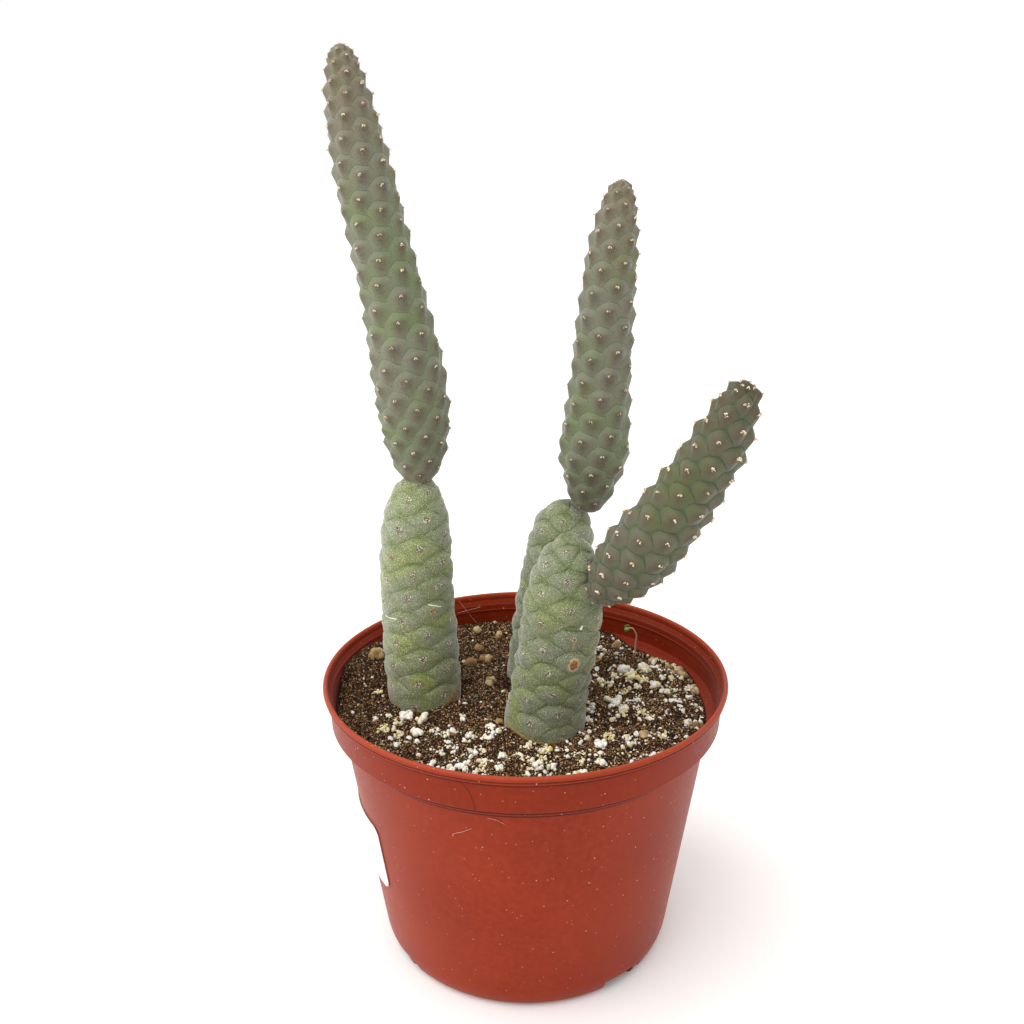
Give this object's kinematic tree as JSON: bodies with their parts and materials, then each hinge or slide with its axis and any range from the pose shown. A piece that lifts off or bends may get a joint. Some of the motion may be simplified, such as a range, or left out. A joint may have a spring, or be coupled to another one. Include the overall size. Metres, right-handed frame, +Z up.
{
  "type": "potted pinecone cactus",
  "caption": "Round nursery pot of gritty soil with jointed pinecone cactus stems: tall tubercled segments stand or lean on shorter, smoother ones. Rests on its flat base.",
  "frame": {"origin": "centre of the pot's underside, on the resting plane and on the pot's axis", "axes": "+Z up along the pot's axis, -Y toward the front of the pot as pictured, +X to its right"},
  "size_m": [0.152, 0.152, 0.3322],
  "materials": {
    "terracotta_plastic": "satin injection-moulded plastic, terracotta red",
    "gritty_soil": "dark brown peat and bark with white perlite and tan pumice grains",
    "old_skin": "waxy grey-green cactus skin with fine pale speckle",
    "young_skin": "waxy dark grey-green cactus skin, purplish on the tubercles' crests",
    "blank_label": "plain white sticker, unprinted",
    "seedling_green": "soft green leaf on a pale stem"
  },
  "bodies": {
    "root": {"pot": "terracotta_plastic", "soil": "gritty_soil", "left_lower_segment": "old_skin", "left_upper_segment": "young_skin", "back_lower_segment": "old_skin", "middle_upper_segment": "young_skin", "front_lower_segment": "old_skin", "right_upper_segment": "young_skin", "label": "blank_label", "seedling": "seedling_green"}
  },
  "joints": []
}
